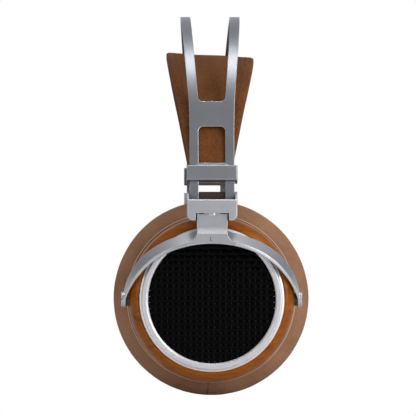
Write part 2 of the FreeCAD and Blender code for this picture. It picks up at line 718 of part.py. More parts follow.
def make_driver_magnet():
    """A neodymium disc with a pole that reaches into the voice coil."""
    x0 = WOOD_BACK_X + 8.5
    pole = cup_disc(6.0, x0 - 5.0, x0)
    return cup_disc(12.5, x0, x0 + 5.0).fuse(pole).removeSplitter()


def make_voice_coil():
    return cup_ring(7.4, 6.4, WOOD_BACK_X + 2.0, WOOD_BACK_X + 6.0)


def make_diaphragm():
    """A thin film with a dome inside the coil and a roll around it."""
    film = 0.35
    coil_r, edge_r, steps = 7.4, 19.4, 6
    base_x = WOOD_BACK_X + 1.6
    front = [(base_x - 2.2, 0.0)]
    for i in range(steps + 1):
        share = (1 + i) / (1 + steps)
        front.append((base_x - 2.2 * math.cos(math.pi / 2 * share), coil_r * share))
    for i in range(1, steps + 1):
        share = i / steps
        front.append((base_x - 1.2 * math.sin(math.pi * share), coil_r + (edge_r - coil_r) * share))
    front[1] = (front[0][0], front[1][1])
    back = [(x + film, r) for x, r in reversed(front)]
    return turned([], front + back + front[:1])


# Ear pad: from the baffle inwards

def make_ear_pad():
    """A round cushion with full edges and a pocket for its mounting ring."""
    front_round = 10.0
    back_round = 6.0
    inner_round = 7.0
    outer_front = rounded_rim(PAD_FACE_X + front_round, PAD_R - front_round,
                              -front_round, front_round)
    outer_back = rounded_rim(PAD_BACK_X - back_round, PAD_R - back_round, back_round, back_round)
    inner_front = rounded_rim(PAD_FACE_X + inner_round, PAD_IN_R + inner_round,
                              -inner_round, -inner_round)
    side = Part.makeLine(point(PAD_FACE_X + front_round, 0, PAD_R),
                         point(PAD_BACK_X - back_round, 0, PAD_R))
    face = Part.makeLine(point(PAD_FACE_X, 0, PAD_R - front_round),
                         point(PAD_FACE_X, 0, PAD_IN_R + inner_round))
    pocket_x = PAD_BACK_X - PAD_POCKET
    return turned([outer_front, side, outer_back, face, inner_front], [
        (PAD_BACK_X, PAD_R - back_round), (PAD_BACK_X, 42.3), (pocket_x, 42.3),
        (pocket_x, PAD_IN_R), (PAD_FACE_X + inner_round, PAD_IN_R),
    ])


def make_pad_ring():
    ring = cup_ring(42.0, 30.0, PAD_BACK_X - PAD_RING_T, PAD_BACK_X)
    for spot in baffle_screw_places():
        start = Vector(PAD_BACK_X - 3, spot.y, spot.z)
        ring = ring.cut(rod(2.6, start, start + Vector(5, 0, 0)))
    return ring


def make_pad_scrim():
    return cup_disc(33.5, PAD_BACK_X - PAD_POCKET + 0.02, PAD_BACK_X - PAD_RING_T - 0.02)


# Cable socket under the cup

def make_jack_socket():
    """A threaded barrel through the wood, with a wider body inside the cup."""
    barrel = rod(JACK_BARREL_R, point(JACK_X, 0, -JACK_MOUTH), point(JACK_X, 0, -JACK_SEAT_IN))
    body_end = point(JACK_X, 0, -JACK_SEAT_IN + JACK_BODY_LENGTH)
    body = rod(5.6, point(JACK_X, 0, -JACK_SEAT_IN), body_end)
    bore_end = -JACK_MOUTH + JACK_BORE_LENGTH
    socket = barrel.fuse(body).removeSplitter()
    return socket.cut(rod(JACK_BORE_R, point(JACK_X, 0, -JACK_MOUTH), point(JACK_X, 0, bore_end)))


def make_jack_nut():
    """A round nut with two flats, in the seat under the cup."""
    low, high = point(JACK_X, 0, -JACK_SEAT_OUT - 2.2), point(JACK_X, 0, -JACK_SEAT_OUT)
    nut = tube(5.4, JACK_BARREL_R + 0.02, low, high)
    low_z = CUP_Z - JACK_SEAT_OUT - 2.2
    nut = chamfered_edges(nut, 0.4, lambda e: abs(e.CenterOfMass.z - low_z) < 0.01
                          and e.BoundBox.XLength > 9)
    flats = block(JACK_X - 6, JACK_X + 6, -4.8, 4.8, -JACK_SEAT_OUT - 3, -JACK_SEAT_OUT + 1)
    return nut.common(flats)


SHARED = {
    "headband_frame": make_headband_frame,
    "head_strap": make_head_strap,
    "strap_lining": make_strap_lining,
}
EACH_SIDE = {
    "slider_front": make_slider_front,
    "slider_back": make_slider_back,
    "slider_screws": make_slider_screws,
    "slider_spring": make_slider_spring,
    "strap_end": make_strap_end,
    "yoke_block": make_yoke_block,
    "leg_rivets": make_leg_rivets,
    "swivel_pin": make_swivel_pin,
    "swivel_washer": make_swivel_washer,
    "yoke": make_yoke,
    "pivot_screws": make_pivot_screws,
    "pivot_washers": make_pivot_washers,
    "pivot_inserts": make_pivot_inserts,
    "ear_cup": make_ear_cup,
    "bezel_ring": make_bezel_ring,
    "grille": make_grille,
    "grille_cloth": make_grille_cloth,
    "baffle": make_baffle,
    "baffle_screws": make_baffle_screws,
    "driver_frame": make_driver_frame,
    "driver_magnet": make_driver_magnet,
    "voice_coil": make_voice_coil,
    "diaphragm": make_diaphragm,
    "ear_pad": make_ear_pad,
    "pad_ring": make_pad_ring,
    "pad_scrim": make_pad_scrim,
    "jack_socket": make_jack_socket,
    "jack_nut": make_jack_nut,
}


def main():
    os.makedirs("parts", exist_ok=True)
    for name, make in SHARED.items():
        make().exportStep("parts/" + name + ".step")
    for name, make in EACH_SIDE.items():
        piece = make()
        piece.exportStep("parts/left_" + name + ".step")
        piece.mirror(Vector(0, 0, 0), X_AXIS).exportStep("parts/right_" + name + ".step")


main()
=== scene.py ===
"""Looks of the over ear headphones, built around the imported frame.

Metres, in the CAD's frame: +X the wearer's left, -Y the front, +Z up. Places come from the frame's
own boxes, so that a piece sits where its CAD node is.
"""

import json
import math

import bmesh
import bpy
from mathutils import Matrix, Vector, noise


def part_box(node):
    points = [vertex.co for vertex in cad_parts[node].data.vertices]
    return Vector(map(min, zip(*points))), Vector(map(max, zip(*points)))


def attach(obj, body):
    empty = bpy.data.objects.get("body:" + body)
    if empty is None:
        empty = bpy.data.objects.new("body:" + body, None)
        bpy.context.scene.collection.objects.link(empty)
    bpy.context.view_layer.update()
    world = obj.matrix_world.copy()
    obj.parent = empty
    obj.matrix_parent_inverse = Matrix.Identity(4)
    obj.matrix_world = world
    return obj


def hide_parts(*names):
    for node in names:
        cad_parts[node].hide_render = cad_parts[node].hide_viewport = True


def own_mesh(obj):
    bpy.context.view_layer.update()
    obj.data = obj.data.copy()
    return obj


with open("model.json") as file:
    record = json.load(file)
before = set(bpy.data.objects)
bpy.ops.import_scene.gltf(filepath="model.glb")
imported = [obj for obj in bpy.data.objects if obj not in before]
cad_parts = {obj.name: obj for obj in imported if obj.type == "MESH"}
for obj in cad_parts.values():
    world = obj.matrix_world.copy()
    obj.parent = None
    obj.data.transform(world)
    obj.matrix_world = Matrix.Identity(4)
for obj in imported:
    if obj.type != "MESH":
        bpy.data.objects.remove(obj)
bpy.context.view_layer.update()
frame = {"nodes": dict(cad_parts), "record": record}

MM = 0.001
EDGE_ROUND = 0.6 * MM     # radius that metal edges seem to be rounded by
BLOCK_WALL = 1.3 * MM     # the yoke block is painted with shade inside walls of this thickness
SIDES = (("left", 1.0), ("right", -1.0))


# Where things are

BOXES = {}


def box(node):
    """Lowest and highest corner of a CAD node, looked up once."""
    if node not in BOXES:
        BOXES[node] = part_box(node)
    return BOXES[node]


def middle(node):
    """Middle of a CAD node's box."""
    low, high = box(node)
    return (low + high) / 2


EAR = Vector((0, 0, middle("left_ear_cup").z))    # on the ear axis, midway between the cups


# Materials

class Shader:
    """A material's node tree, with short ways to add and join nodes."""

    def __init__(self, name, material=None):
        self.material = material or bpy.data.materials.new(name)
        self.material.use_nodes = True
        self.tree = self.material.node_tree
        self.surface = self.tree.nodes["Principled BSDF"]
        self.place = self.add("ShaderNodeTexCoord").outputs["Object"]

    @classmethod
    def over(cls, material):
        """Goes on with a material that is already there."""
        return cls(material.name, material)

    def add(self, kind, settings=None, **inputs):
        """A new node; settings are its own, and inputs are values or sockets, with _ for a space."""
        node = self.tree.nodes.new(kind)
        for key, value in (settings or {}).items():
            setattr(node, key, value)
        for key, value in inputs.items():
            self.put(node.inputs[key.replace("_", " ")], value)
        return node

    def put(self, socket, value):
        """Joins a socket to another one, or gives it a value."""
        if isinstance(value, bpy.types.NodeSocket):
            self.tree.links.new(value, socket)
        else:
            socket.default_value = value

    def set(self, **inputs):
        """Sets inputs of the material's surface."""
        for key, value in inputs.items():
            self.put(self.surface.inputs[key.replace("_", " ")], value)

    def math(self, operation, first, second=0.0):
        """The result of a Math node on one or two values."""
        node = self.tree.nodes.new("ShaderNodeMath")
        node.operation = operation
        self.put(node.inputs[0], first)
        self.put(node.inputs[1], second)
        return node.outputs[0]

    def noise(self, scale, detail=2.0, roughness=0.5, stretch=(1, 1, 1), distortion=0.0):
        """Noise with scale in features per millimetre."""
        place = self.add("ShaderNodeMapping", Vector=self.place, Scale=stretch).outputs[0]
        node = self.add("ShaderNodeTexNoise", Vector=place, Scale=scale / MM, Detail=detail,
                        Roughness=roughness, Distortion=distortion)
        return node.outputs["Fac"]

    def ramp(self, value, *stops):
        """A colour ramp; each stop is (position, colour)."""
        node = self.add("ShaderNodeValToRGB", Fac=value)
        elements = node.color_ramp.elements
        while len(elements) < len(stops):
            elements.new(0.5)
        for element, (position, colour) in zip(elements, stops):
            element.position = position
            element.color = (*colour, 1.0)
        return node.outputs[0]

    def span(self, value, low, high, new_low, new_high):
        """A value's range low..high moved to new_low..new_high, clamped."""
        node = self.add("ShaderNodeMapRange", Value=value)
        for key, number in (("From Min", low), ("From Max", high), ("To Min", new_low),
                            ("To Max", new_high)):
            node.inputs[key].default_value = number
        return node.outputs[0]

    def bump(self, height, depth, under=None):
        """A bump of depth millimetres, on top of another bump where one is given."""
        node = self.add("ShaderNodeBump", Height=height, Distance=depth * MM, Strength=1.0)
        if under is not None:
            self.put(node.inputs["Normal"], under)
        return node.outputs[0]


def blasted_metal(name, colour, rough):
    """Fine bead blasted metal, with a painted highlight along its edges."""
    s = Shader(name)
    fine = s.noise(6.0, 2.0, 0.6)
    broad = s.noise(0.05, 3.0)
    dark = tuple(c * 0.94 for c in colour)
    light = tuple(min(1.0, c * 1.04) for c in colour)
    rounded = s.add("ShaderNodeBevel", {"samples": 4}, Radius=EDGE_ROUND).outputs[0]
    flat = s.add("ShaderNodeNewGeometry").outputs["Normal"]
    turn = s.add("ShaderNodeVectorMath", {"operation": "DOT_PRODUCT"})
    s.put(turn.inputs[0], rounded)
    s.put(turn.inputs[1], flat)
    edge = s.span(turn.outputs["Value"], 0.80, 0.99, 0.75, 0.0)
    # the colour turns near white at the edges: a painted highlight
    edge_highlight = s.add("ShaderNodeMix", {"data_type": "RGBA"}, Factor=edge)
    s.put(edge_highlight.inputs[6], s.ramp(broad, (0.35, dark), (0.65, light)))
    s.put(edge_highlight.inputs[7], (0.90, 0.91, 0.94, 1))
    s.set(Base_Color=edge_highlight.outputs[2], Metallic=1.0,
          Roughness=s.span(fine, 0.3, 0.7, rough - 0.04, rough + 0.04),
          Normal=s.bump(fine, 0.006, rounded))
    return s.material


def block_metal(name, colour, rough):
    """The yoke block's metal, with painted shade inside its cavity."""
    s = Shader.over(blasted_metal(name, colour, rough))
    parts = s.add("ShaderNodeSeparateXYZ", Vector=s.place)
    low, high = box("left_yoke_block")
    sideways = s.math("ABSOLUTE", parts.outputs["X"])
    inside = s.math("LESS_THAN", sideways, high.x - BLOCK_WALL)
    inside = s.math("MULTIPLY", inside, s.math("GREATER_THAN", sideways, low.x + 0.2 * MM))
    across = s.math("ABSOLUTE", parts.outputs["Y"])
    inside = s.math("MULTIPLY", inside, s.math("LESS_THAN", across, high.y - BLOCK_WALL * 0.9))
    plain = s.surface.inputs["Base Color"].links[0].from_socket
    # painted shade over the cavity, brownish as a painted reflection of the leather
    mix = s.add("ShaderNodeMix", {"data_type": "RGBA"}, Factor=inside)
    s.put(mix.inputs[6], plain)
    s.put(mix.inputs[7], (0.075, 0.055, 0.050, 1))
    s.set(Base_Color=mix.outputs[2])
    return s.material


def plain_plastic(name, colour, rough):
    """Moulded plastic with a fine texture."""
    s = Shader(name)
    fine = s.noise(4.0, 3.0)
    dark = tuple(c * 0.85 for c in colour)
    s.set(Base_Color=s.ramp(fine, (0.3, dark), (0.7, colour)),
          Roughness=s.span(fine, 0.3, 0.7, rough - 0.06, rough + 0.06), Normal=s.bump(fine, 0.01))
    return s.material


def mesh_cloth(name, colour):
    """Thin woven cloth: two crossed sets of threads."""
    s = Shader(name)
    parts = s.add("ShaderNodeSeparateXYZ", Vector=s.place)
    waves = []
    for axis in ("Y", "Z"):
        turn = s.math("MULTIPLY", parts.outputs[axis], 2 * math.pi / (0.5 * MM))
        waves.append(s.math("SINE", turn))
    weave = s.math("MULTIPLY", waves[0], waves[1])
    dark = tuple(c * 0.4 for c in colour)
    s.set(Base_Color=s.ramp(s.span(weave, -1, 1, 0, 1), (0.2, dark), (0.8, colour)), Roughness=0.9,
          Specular_IOR_Level=0.1, Normal=s.bump(weave, 0.05))
    return s.material


def lacquered_wood():
    """Warm stained wood with long fine grain under a clear gloss lacquer."""
    s = Shader("lacquered_wood")
    along = (1.0, 0.06, 1.0)
    bands = s.noise(0.16, 3.0, 0.55, along, 0.6)
    fibres = s.noise(1.6, 4.0, 0.65, (1.0, 0.035, 1.0))
    pores = s.noise(3.5, 2.0, 0.5, (1.0, 0.05, 1.0))
    mixed = s.math("ADD", s.math("MULTIPLY", bands, 0.62), s.math("MULTIPLY", fibres, 0.38))
    colour = s.ramp(mixed, (0.34, (0.100, 0.024, 0.002)), (0.46, (0.190, 0.050, 0.003)),
                    (0.56, (0.240, 0.068, 0.004)), (0.70, (0.310, 0.095, 0.006)))
    shade = s.span(pores, 0.25, 0.45, 0.72, 1.0)
    tint = s.add("ShaderNodeMix", {"data_type": "RGBA", "blend_type": "MULTIPLY"}, Factor=1.0)
    s.put(tint.inputs[6], colour)
    s.put(tint.inputs[7], shade)
    s.set(Base_Color=tint.outputs[2], Roughness=0.36, Normal=s.bump(fibres, 0.004),
          Coat_Weight=0.20, Coat_Roughness=0.12, Coat_IOR=1.40, Specular_IOR_Level=0.08)
    return s.material


def leather(name, colour, grain, depth, rough, crease=0.0):
    """Leather with grain cells per millimetre, fine pores and, if crease is given, slanted folds."""
    s = Shader(name)
    warp = s.add("ShaderNodeTexNoise", Vector=s.place, Scale=0.5 / MM, Detail=2.0)
    shift = s.add("ShaderNodeMix", {"data_type": "VECTOR"}, Factor=0.0012)
    s.put(shift.inputs[4], s.place)
    s.put(shift.inputs[5], warp.outputs["Color"])
    cells = s.add("ShaderNodeTexVoronoi", {"feature": "DISTANCE_TO_EDGE"},
                  Vector=shift.outputs[1], Scale=grain / MM).outputs["Distance"]
    pebble = s.span(cells, 0.0, 0.25, 0.0, 1.0)
    broad = s.noise(0.06, 3.0)
    fine = s.noise(3.0, 3.0)
    dark = tuple(c * 0.62 for c in colour)
    light = tuple(min(1.0, c * 1.25) for c in colour)
    # the tone is darker in the grooves between grain cells: painted shade
    tone = s.math("ADD", s.math("MULTIPLY", broad, 0.6), s.math("MULTIPLY", pebble, 0.25))
    tone = s.math("ADD", tone, s.math("MULTIPLY", fine, 0.15))
    normal = s.bump(fine, depth * 0.35)
    normal = s.bump(pebble, depth, normal)
    if crease:
        turned = s.add("ShaderNodeMapping", {"vector_type": "TEXTURE"}, Vector=s.place,
                       Rotation=(2.2, 0.0, 0.0), Scale=(1.0, 5.0, 1.0)).outputs[0]
        folds = s.add("ShaderNodeTexNoise", Vector=turned, Scale=0.8 / MM, Detail=2.0,
                      Roughness=0.5).outputs["Fac"]
        lines = s.span(folds, 0.50, 0.58, 0.0, 1.0)
        normal = s.bump(lines, crease, normal)
        # the folds are painted darker: painted shade in the creases
        tone = s.math("SUBTRACT", tone, s.math("MULTIPLY", lines, 0.08))
    s.set(Base_Color=s.ramp(tone, (0.25, dark), (0.55, colour), (0.85, light)),
          Roughness=s.span(pebble, 0.0, 1.0, rough + 0.15, rough), Normal=normal,
          Specular_IOR_Level=0.14)
    return s.material


def grille_black():
    """Deep black coated tapes, with a faint sheen only where they bend away."""
    s = Shader("grille_black")
    fine = s.noise(3.0, 2.0)
    s.set(Base_Color=(0.001, 0.001, 0.0012, 1), Roughness=s.span(fine, 0.3, 0.7, 0.12, 0.20),
          Specular_IOR_Level=0.04, Normal=s.bump(fine, 0.005))
    return s.material


def coil_copper():
    """Enamelled wire wound about the ear axis."""
    s = Shader("coil_copper")
    parts = s.add("ShaderNodeSeparateXYZ", Vector=s.place)
    turns = s.math("SINE", s.math("MULTIPLY", parts.outputs["X"], 2 * math.pi / (0.2 * MM)))
    # darker between the turns and lighter on them: painted shade and painted highlight of the round
    # wire
    s.set(Base_Color=s.ramp(s.span(turns, -1, 1, 0, 1), (0.0, (0.28, 0.09, 0.03)),
                            (1.0, (0.62, 0.26, 0.11))),
          Metallic=1.0, Roughness=0.3, Normal=s.bump(turns, 0.05))
    return s.material


def make_materials():
    """One material for each of the record's slots."""
    return {
        # band and clip metal are painted about half as bright as the block's and yoke's: painted shade
        "band_metal": blasted_metal("band_steel", (0.24, 0.25, 0.27), 0.40),
        "clip_metal": blasted_metal("clip_aluminium", (0.23, 0.24, 0.26), 0.46),
        "block_metal": block_metal("block_aluminium", (0.43, 0.44, 0.46), 0.50),
        "yoke_metal": blasted_metal("yoke_aluminium", (0.46, 0.47, 0.49), 0.44),
        "bezel_metal": blasted_metal("bezel_aluminium", (0.64, 0.64, 0.66), 0.50),
        "screw_heads": blasted_metal("screw_steel", (0.42, 0.43, 0.45), 0.38),
        "steel_fittings": blasted_metal("fitting_steel", (0.45, 0.46, 0.48), 0.30),
        "spring_steel": blasted_metal("spring_steel", (0.40, 0.40, 0.42), 0.25),
        "dark_screws": blasted_metal("black_oxide", (0.05, 0.05, 0.05), 0.40),
        "brass": blasted_metal("brass", (0.62, 0.45, 0.18), 0.30),
        "magnet": blasted_metal("nickel", (0.62, 0.61, 0.58), 0.18),
        "nylon": plain_plastic("black_nylon", (0.012, 0.012, 0.013), 0.50),
        "baffle_plastic": plain_plastic("moulded_black", (0.020, 0.020, 0.021), 0.55),
        "driver_plastic": plain_plastic("driver_black", (0.028, 0.028, 0.030), 0.45),
        "film": plain_plastic("film", (0.060, 0.060, 0.064), 0.25),
        "grille_black": grille_black(),
        "dust_cloth": mesh_cloth("dust_cloth", (0.004, 0.004, 0.004)),
        "lining_suede": leather("lining_suede", (0.085, 0.040, 0.022), 2.2, 0.02, 0.75),
        "copper": coil_copper(),
        "lacquered_wood": lacquered_wood(),
        "pad_leather": leather("pad_leather", (0.265, 0.135, 0.074), 1.4, 0.02, 0.50),
        # the piping is painted much lighter than the pad's leather: a painted highlight along the
        # wood's edge
        "pad_piping": plain_plastic("piping", (0.48, 0.31, 0.20), 0.50),
        "seam_dark": plain_plastic("seam_dark", (0.045, 0.022, 0.012), 0.7),
        "thread": plain_plastic("thread", (0.035, 0.016, 0.009), 0.7),
        "mark": plain_plastic("mark_ink", (0.05, 0.05, 0.055), 0.5),
        "strap_leather": leather("strap_leather", (0.165, 0.055, 0.013), 1.6, 0.16, 0.58, 0.22),
    }


def paint_frame(materials):
    """Gives every CAD node the material of its slot."""
    for row in frame["record"]["subparts"]:
        slots = frame["nodes"][row["node"]].data.materials
        slots.clear()
        slots.append(materials[row["material_slot"]])


# Mesh helpers

def new_piece(name, verts, faces, material):
    """A mesh object from points and faces, with merged doubles and outward normals."""
    mesh = bpy.data.meshes.new(name)
    mesh.from_pydata([tuple(v) for v in verts], [], faces)
    shape = bmesh.new()
    shape.from_mesh(mesh)
    bmesh.ops.remove_doubles(shape, verts=shape.verts, dist=1e-7)
    bmesh.ops.dissolve_degenerate(shape, edges=shape.edges, dist=1e-7)
    bmesh.ops.recalc_face_normals(shape, faces=shape.faces)
    shape.to_mesh(mesh)
    shape.free()
    mesh.polygons.foreach_set("use_smooth", [True] * len(mesh.polygons))
    piece = bpy.data.objects.new(name, mesh)
    bpy.context.scene.collection.objects.link(piece)
    mesh.materials.append(material)
    return piece


def grid_faces(rows, columns, wrap_rows=False, wrap_columns=False):
    """Quads over a grid of points stored row after row."""
    faces = []
    for i in range(rows if wrap_rows else rows - 1):
        for j in range(columns if wrap_columns else columns - 1):
            a, b = i * columns + j, i * columns + (j + 1) % columns
            c, d = ((i + 1) % rows) * columns, j
            faces.append((a, b, c + (j + 1) % columns, c + d))
    return faces


def on_ring(x, r, turn):
    """A point of a circle about the ear axis, turned from straight up."""
    return Vector((x, r * math.sin(turn), EAR.z + r * math.cos(turn)))


def apply_modifiers(piece):
    """Replaces a piece's mesh by its evaluated mesh."""
    graph = bpy.context.evaluated_depsgraph_get()
    mesh = bpy.data.meshes.new_from_object(piece.evaluated_get(graph))
    piece.modifiers.clear()
    piece.data = mesh


def finish_piece(piece, body, slot, *nodes):
    """Rides on a body and stands for the nodes; the slot is not used."""
    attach(piece, body)
    if nodes:
        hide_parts(*nodes)


# Woven grille

TAPE_PITCH = 3.1 * MM
TAPE_HALF_W = 1.42 * MM
TAPE_T = 0.42 * MM
TAPE_WAVE = 0.30 * MM
TAPE_STEPS = 6            # points along a tape in one pitch
TAPE_SIDES = 10


def tape_profile():
    """Cross-section of a tape, rounded at both edges: (share of its half width, height)."""
    points = []
    for i in range(TAPE_SIDES):
        turn = 2 * math.pi * i / TAPE_SIDES
        across = math.copysign(abs(math.cos(turn)) ** 0.45, math.cos(turn))
        up = math.copysign(abs(math.sin(turn)) ** 0.8, math.sin(turn))
        points.append((across, up * TAPE_T / 2))
    return points


def weave_tapes(radius, centre_x, side, upright):
    """Points and faces of all tapes in one direction, cut to a circle."""
    verts, faces = [], []
    count = int(radius / TAPE_PITCH)
    profile = tape_profile()
    for n in range(-count, count + 1):
        middle_v = n * TAPE_PITCH
        if abs(middle_v) + TAPE_HALF_W * 0.6 > radius:
            continue
        first = len(verts)
        stations = range(-(count + 1) * TAPE_STEPS, (count + 1) * TAPE_STEPS + 1)
        for k in stations:
            along = k * TAPE_PITCH / TAPE_STEPS
            for across, up in profile:
                v = middle_v + across * TAPE_HALF_W
                reach = math.sqrt(max(radius ** 2 - v ** 2, 0.0))
                u = max(-reach, min(reach, along))
                phase = math.pi * (u / TAPE_PITCH + n + (0 if upright else 1))
                x = centre_x + TAPE_WAVE * math.cos(phase) + up
                y, z = (v, u) if upright else (u, v)
                verts.append((side * x, y, EAR.z + z))
        ring = len(profile)
        for quad in grid_faces(len(stations), ring, False, True):
            faces.append(tuple(first + i for i in quad))
        faces.append(tuple(first + i for i in range(ring)))
        last = first + (len(stations) - 1) * ring
        faces.append(tuple(last + i for i in reversed(range(ring))))
    return verts, faces


def make_grille(label, side, materials):
    """Flat tapes in a plain weave, where the CAD has a disc."""
    low, high = box("left_grille")
    radius = (high.z - low.z) / 2
    centre_x = (low.x + high.x) / 2
    verts, faces = weave_tapes(radius, centre_x, side, True)
    more, more_faces = weave_tapes(radius, centre_x, side, False)
    shift = len(verts)
    faces += [tuple(shift + i for i in face) for face in more_faces]
    piece = new_piece(label + "_woven_grille", verts + more, faces, materials["grille_black"])
    finish_piece(piece, label + "_cup", "grille_black", label + "_grille")


# Ear pads

PAD_TURNS = 180
PAD_STEPS = 56
PAD_SHRINK = 0.5 * MM     # the cushion starts smaller than its CAD solid and swells
PAD_CAP = 1.2 * MM        # most that a point moves as the cushion swells
PAD_PRESSURE = 3.0
PAD_FRAMES = 20
PAD_EVEN = 12             # sections to each side over which the swelling is evened out
PAD_OWN = 0.10            # share that each point keeps of its own move
PAD_HELD = 8              # cross-section steps held at the pad's back, to each side of its middle
PAD_OPENING = 28.5 * MM
SEAM_STEP = 10            # cross-section step of the sewn seam around the ear's side
SEAM_LEAN = 0.035         # turn of the closing seam from straight down, in radians
CLOSING_STEPS = PAD_STEPS // 4 + 8
PIPING_R = 45.0 * MM      # just outside the wood
RING_POINTS = 400


def pad_point(lean):
    """(x, r) on the left pad's cross-section, for an angle from its rim towards the ear's side."""
    low, high = box("left_ear_pad")
    outer_r = (high.z - low.z) / 2 - PAD_SHRINK
    half_t = (high.x - low.x) / 2 - PAD_SHRINK
    half_r = (outer_r - PAD_OPENING) / 2
    c, s = math.cos(lean), math.sin(lean)
    x = (low.x + high.x) / 2 - half_t * math.copysign(abs(s) ** 0.72, s)
    r = (outer_r + PAD_OPENING) / 2 + half_r * math.copysign(abs(c) ** 0.78, c)
    return x, r


def make_cushion(name, material):
    """The left pad's cushion: a ring of cross-sections about the ear axis."""
    verts = []
    for i in range(PAD_TURNS):
        turn = 2 * math.pi * i / PAD_TURNS
        for j in range(PAD_STEPS):
            x, r = pad_point(2 * math.pi * j / PAD_STEPS)
            verts.append(on_ring(x, r, turn))
    return new_piece(name, verts, grid_faces(PAD_TURNS, PAD_STEPS, True, True), material)


def swell(piece, pinned):
    """Blows the cushion up as cloth, held at the pinned points, and evens and caps its moves."""
    before = [v.co.copy() for v in piece.data.vertices]
    group = piece.vertex_groups.new(name="pinned")
    group.add(pinned, 1.0, "REPLACE")
    cloth = piece.modifiers.new("cloth", "CLOTH")
    cloth.settings.quality = 6
    cloth.settings.mass = 0.2
    cloth.settings.use_pressure = True
    cloth.settings.uniform_pressure_force = PAD_PRESSURE
    cloth.settings.vertex_group_mass = "pinned"
    cloth.settings.shrink_min = -0.035
    cloth.settings.tension_stiffness = 20
    cloth.settings.compression_stiffness = 20
    cloth.settings.bending_stiffness = 0.05
    cloth.settings.effector_weights.gravity = 0.0
    cloth.point_cache.frame_start = 1
    cloth.point_cache.frame_end = PAD_FRAMES
    for step in range(1, PAD_FRAMES + 1):
        bpy.context.scene.frame_set(step)
    apply_modifiers(piece)
    piece.vertex_groups.clear()
    moves = [v.co - old for v, old in zip(piece.data.vertices, before)]
    even = evened_moves(moves)
    for vertex, old, own, shared in zip(piece.data.vertices, before, moves, even):
        move = own * PAD_OWN + shared * (1 - PAD_OWN)
        if move.length > PAD_CAP:
            move *= PAD_CAP / move.length
        vertex.co = old + move
    bpy.context.scene.frame_set(1)


def evened_moves(moves):
    """Each section's moves in its own directions, averaged with those of its neighbours."""
    turns = [Matrix.Rotation(-2 * math.pi * i / PAD_TURNS, 3, "X") for i in range(PAD_TURNS)]
    back = [turn.transposed() for turn in turns]
    even = []
    near = range(-PAD_EVEN, PAD_EVEN + 1)
    for i in range(PAD_TURNS):
        for j in range(PAD_STEPS):
            total = Vector()
            for k in near:
                other = (i + k) % PAD_TURNS
                total += back[other] @ moves[other * PAD_STEPS + j]
            even.append(turns[i] @ total / len(near))
    return even


def make_pads(materials):
    """Both ear pads: the left cushion is swollen and trimmed, and the right one is its mirror image."""
    cushion = make_cushion("left_pad_cushion", materials["pad_leather"])
    middle_step = PAD_STEPS * 3 // 4
    held = [SEAM_STEP] + list(range(middle_step - PAD_HELD, middle_step + PAD_HELD + 1))
    swell(cushion, [i * PAD_STEPS + j for i in range(PAD_TURNS) for j in held])
    finer = cushion.modifiers.new("subsurf", "SUBSURF")
    finer.levels = finer.render_levels = 1
    apply_modifiers(cushion)
    copy = mirrored(cushion, "right_pad_cushion")
    finish_piece(cushion, "left_cup", "pad_leather", "left_ear_pad")
    finish_piece(copy, "right_cup", "pad_leather", "right_ear_pad")
    make_pad_trim(cushion, materials)


def mirrored(piece, name):
    """A copy of a left piece, reflected to the right side."""
    mesh = piece.data.copy()
    mesh.transform(Matrix.Scale(-1, 4, Vector((1, 0, 0))))
    mesh.flip_normals()
    copy = bpy.data.objects.new(name, mesh)
    bpy.context.scene.collection.objects.link(copy)
    return copy


def tube_along(path, radius, sides, closed):
    """Points and faces of a tube along a path of points."""
    verts, faces = [], []
    count = len(path)
    for i, place in enumerate(path):
        after = path[(i + 1) % count] if closed or i < count - 1 else place
        before = path[i - 1] if closed or i > 0 else place
        along = (after - before).normalized()
        across = along.orthogonal() if i == 0 else across - along * across.dot(along)
        across.normalize()
        up = along.cross(across)
        for k in range(sides):
            turn = 2 * math.pi * k / sides
            verts.append(place + radius * (math.cos(turn) * across + math.sin(turn) * up))
    faces = grid_faces(count, sides, closed, True)
    if not closed:
        faces.append(tuple(range(sides)))
        faces.append(tuple(reversed(range((count - 1) * sides, count * sides))))
    return verts, faces


def ring_path(x, r):
    """A circle about the ear axis."""
    return [on_ring(x, r, 2 * math.pi * i / RING_POINTS) for i in range(RING_POINTS)]


def surface_path(cushion, places, depth):
    """Points that follow the cushion's surface near the given places, sunk by depth."""
    path = []
    for place in places:
        _, point, normal, _ = cushion.closest_point_on_mesh(place)
        path.append(point - normal * depth)
    return path


def both_sides(name, path, radius, closed, material):
    """A tube along a path on the left pad and its mirror image on the right one."""
    verts, faces = tube_along(path, radius, 8, closed)
    line = new_piece("left_" + name, verts, faces, material)
    copy = mirrored(line, "right_" + name)
    finish_piece(line, "left_cup", "pad_leather")
    finish_piece(copy, "right_cup", "pad_leather")


def make_pad_trim(cushion, materials):
    """Piping beside the wood, a rolled leather edge painted lighter than the pad as a painted
    highlight, a sewn ring on the ear's side and the closing seam underneath.
    """
    back_x = box("left_ear_pad")[1].x
    piping = surface_path(cushion, ring_path(back_x, PIPING_R), 0.12 * MM)
    both_sides("pad_piping", piping, 0.42 * MM, True, materials["pad_piping"])
    x, r = pad_point(2 * math.pi * SEAM_STEP / PAD_STEPS)
    ring = surface_path(cushion, ring_path(x, r), 0.05 * MM)
    both_sides("pad_seam", ring, 0.22 * MM, True, materials["seam_dark"])
    places = []
    for j in range(CLOSING_STEPS):
        x, r = pad_point(2 * math.pi * (SEAM_STEP - j) / PAD_STEPS)
        places.append(on_ring(x, r, math.pi + SEAM_LEAN))
    seam = surface_path(cushion, places, 0.06 * MM)
    both_sides("pad_closing_seam", seam, 0.20 * MM, False, materials["seam_dark"])


# Side marks

MARK_SIZE = 3.3 * MM
MARK_PROUD = 0.03 * MM
MARK_GAP = 0.01 * MM
MARK_HEIGHT = 31.9 * MM   # above the ear axis, on the plate
MARK_SHIFT = 0.6 * MM     # to the left of the plate's middle, seen from outside


